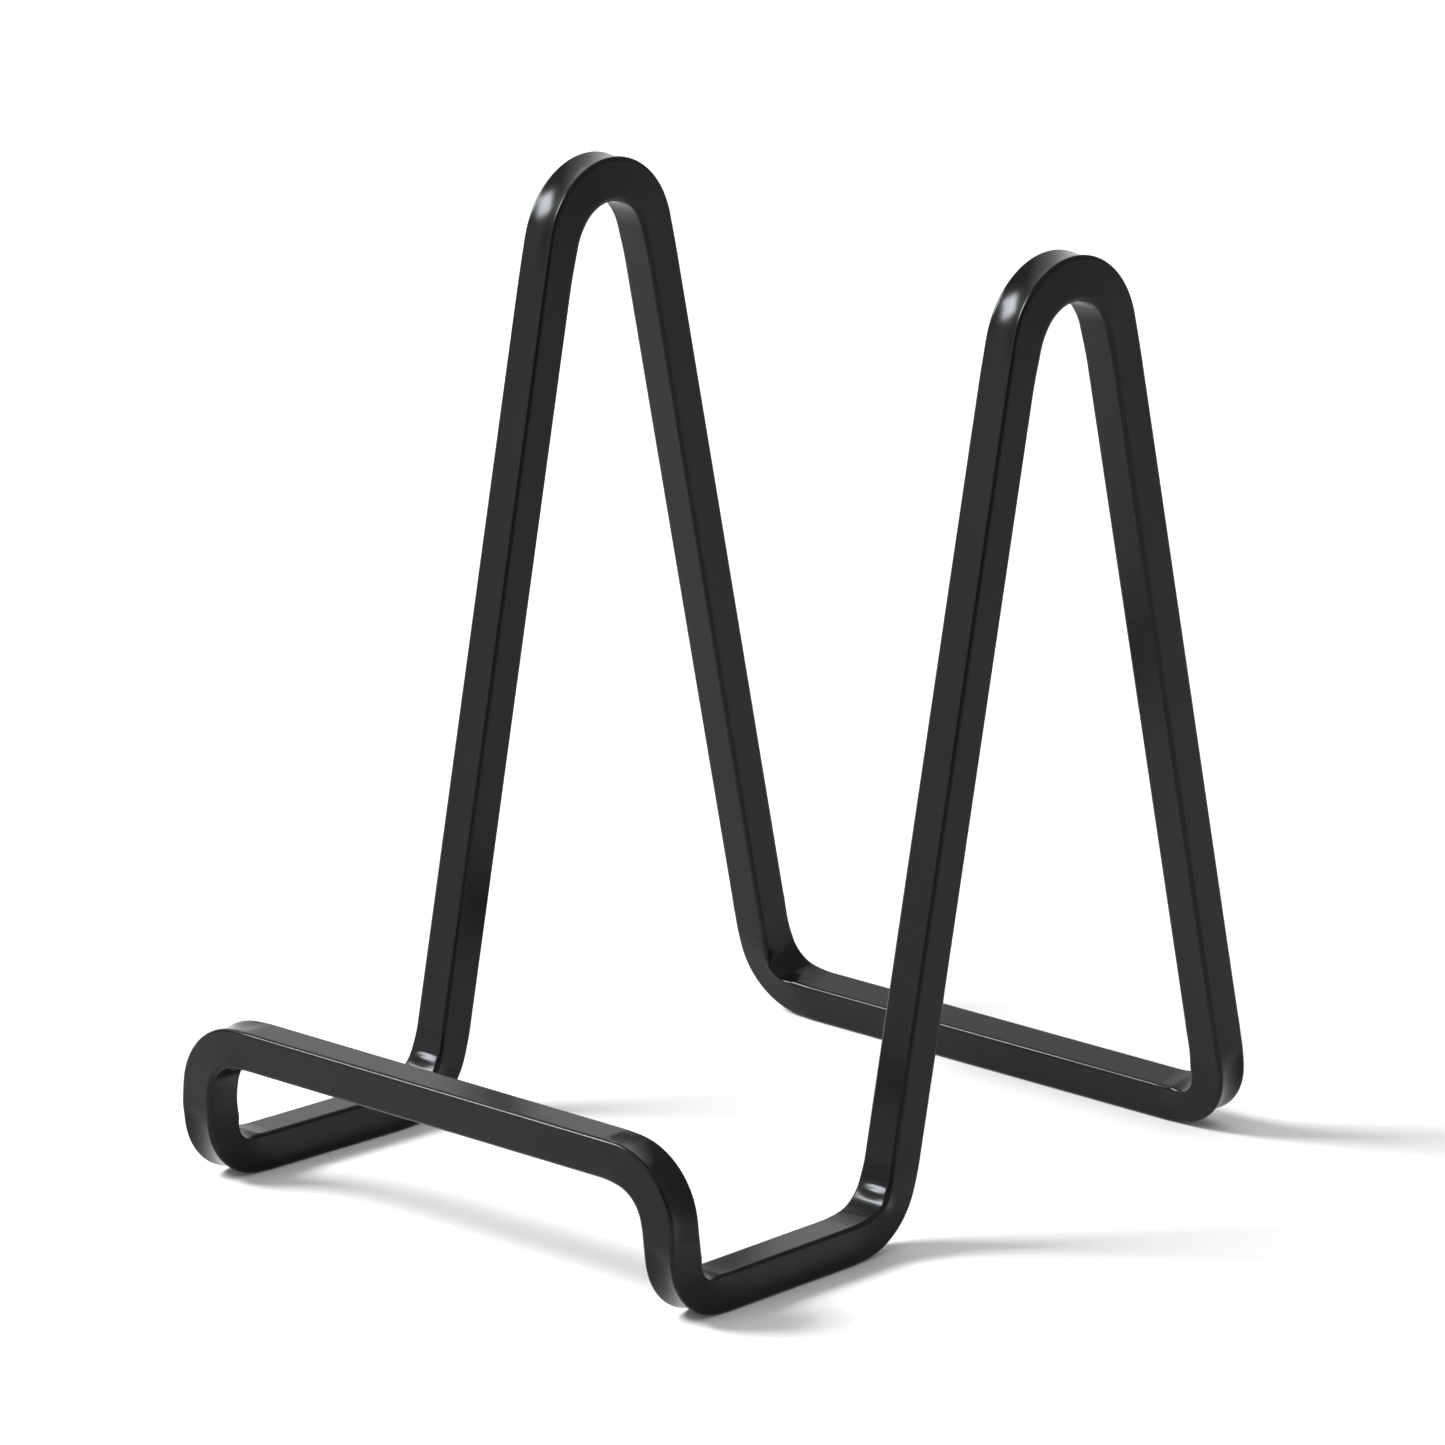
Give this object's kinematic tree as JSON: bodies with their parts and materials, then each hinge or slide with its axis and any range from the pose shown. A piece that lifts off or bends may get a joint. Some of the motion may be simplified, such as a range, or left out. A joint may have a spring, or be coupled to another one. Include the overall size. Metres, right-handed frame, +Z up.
{
  "type": "photo album stand",
  "caption": "Tabletop stand of bent square bar: two hairpin side frames with foot rails, joined by a front lip bar and a rear ground bar, hold an album leaning back.",
  "frame": {"origin": "centre of the footprint, on the surface that the stand rests on", "axes": "+Z up; +Y from the lip at the front to the rear legs; +X to the right as seen from the front"},
  "size_m": [0.099, 0.1274, 0.141],
  "materials": {
    "coated_steel": "black satin powder coat over square steel bar",
    "coated_weld": "black satin powder coat over ground-flush weld metal"
  },
  "bodies": {
    "root": {"left_side_bar": "coated_steel", "right_side_bar": "coated_steel", "front_cross_bar": "coated_steel", "rear_cross_bar": "coated_steel", "front_left_weld": "coated_weld", "front_right_weld": "coated_weld", "rear_left_weld": "coated_weld", "rear_right_weld": "coated_weld"}
  },
  "joints": []
}
